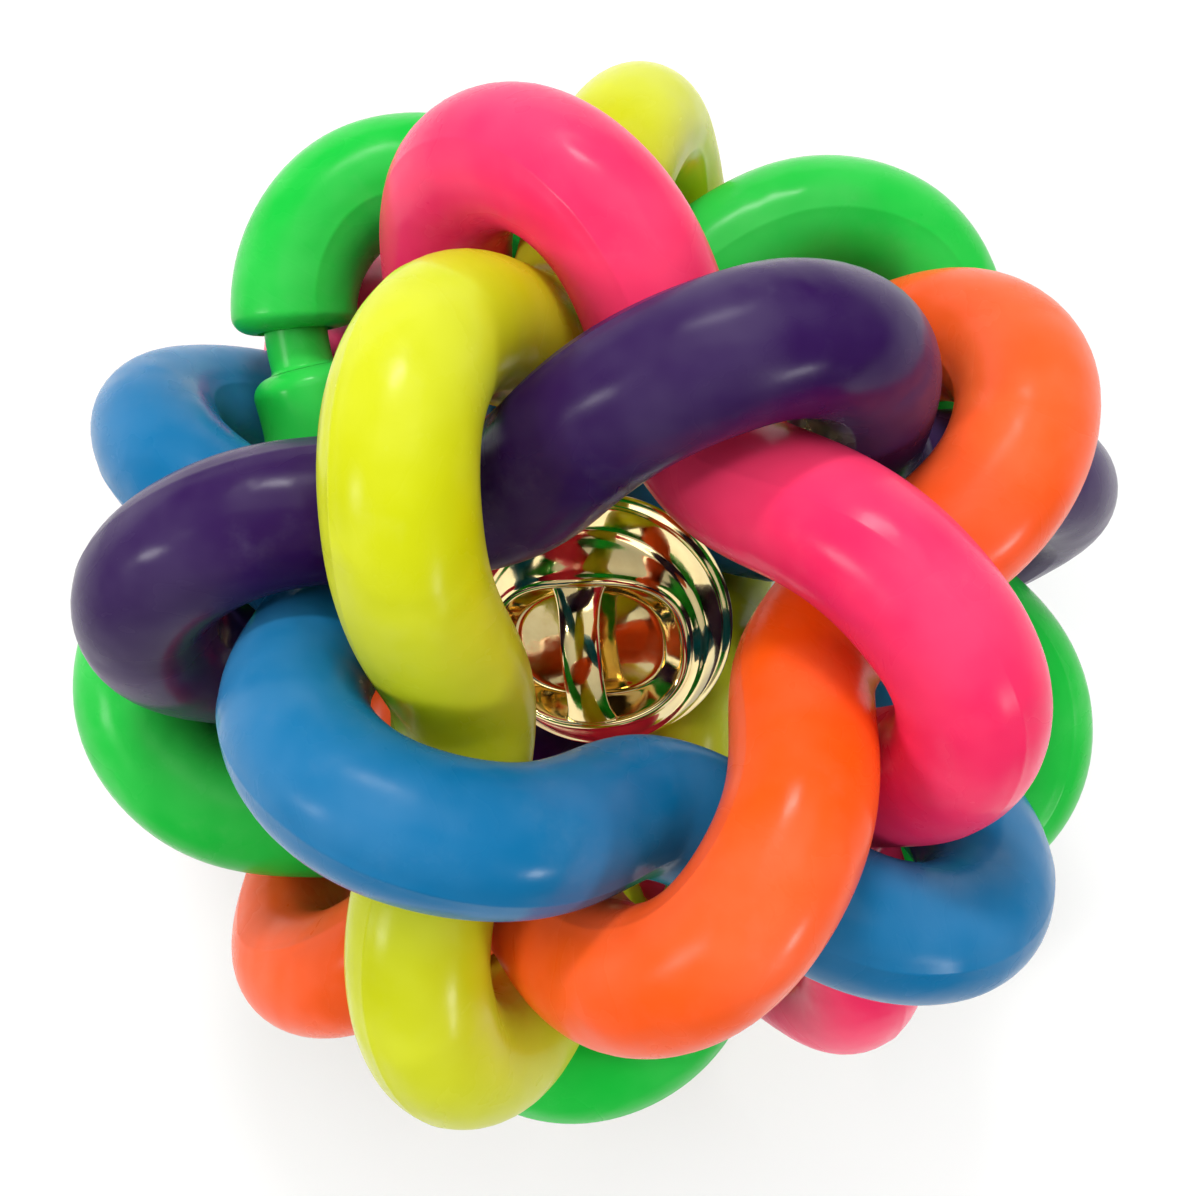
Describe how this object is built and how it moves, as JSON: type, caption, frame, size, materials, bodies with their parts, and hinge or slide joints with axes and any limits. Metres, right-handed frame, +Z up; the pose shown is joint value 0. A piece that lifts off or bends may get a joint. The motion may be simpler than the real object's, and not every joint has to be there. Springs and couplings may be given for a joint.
{
  "type": "woven jingle ball",
  "caption": "Open ball woven from thick soft rubber strands in different colours, with a loose gold jingle bell and its pellet inside.",
  "frame": {"origin": "on the ball's upright five-fold axis, at the height of the surface that the ball stands on", "axes": "+Z up through the open pentagon at the top; +Y through a crossing at mid-height, where the ball is widest"},
  "size_m": [0.0864, 0.09, 0.0789],
  "materials": {
    "green_rubber": "glossy soft moulded",
    "yellow_rubber": "glossy soft moulded",
    "blue_rubber": "glossy soft moulded",
    "orange_rubber": "glossy soft moulded",
    "pink_rubber": "glossy soft moulded",
    "purple_rubber": "glossy soft moulded",
    "gold_plate": "polished",
    "steel": "polished"
  },
  "bodies": {
    "cage": {"strand_green": "green_rubber", "strand_yellow": "yellow_rubber", "strand_blue": "blue_rubber", "strand_orange": "orange_rubber", "strand_pink": "pink_rubber", "strand_purple": "purple_rubber"},
    "bell": {"bell_crown": "gold_plate", "bell_bowl": "gold_plate"},
    "pellet": {"bell_pellet": "steel"}
  },
  "joints": [
    {"name": "bell_rattle", "type": "slide", "parent": "cage", "child": "bell", "axis": [0, 0, 1], "range_m": [0, 0.0202]},
    {"name": "pellet_roll", "type": "hinge", "parent": "bell", "child": "pellet", "pos_m": [0.001, -0.0021, 0.02911], "axis": [-0.5948, -0.8039, 0], "range_deg": [-100, 100]}
  ]
}
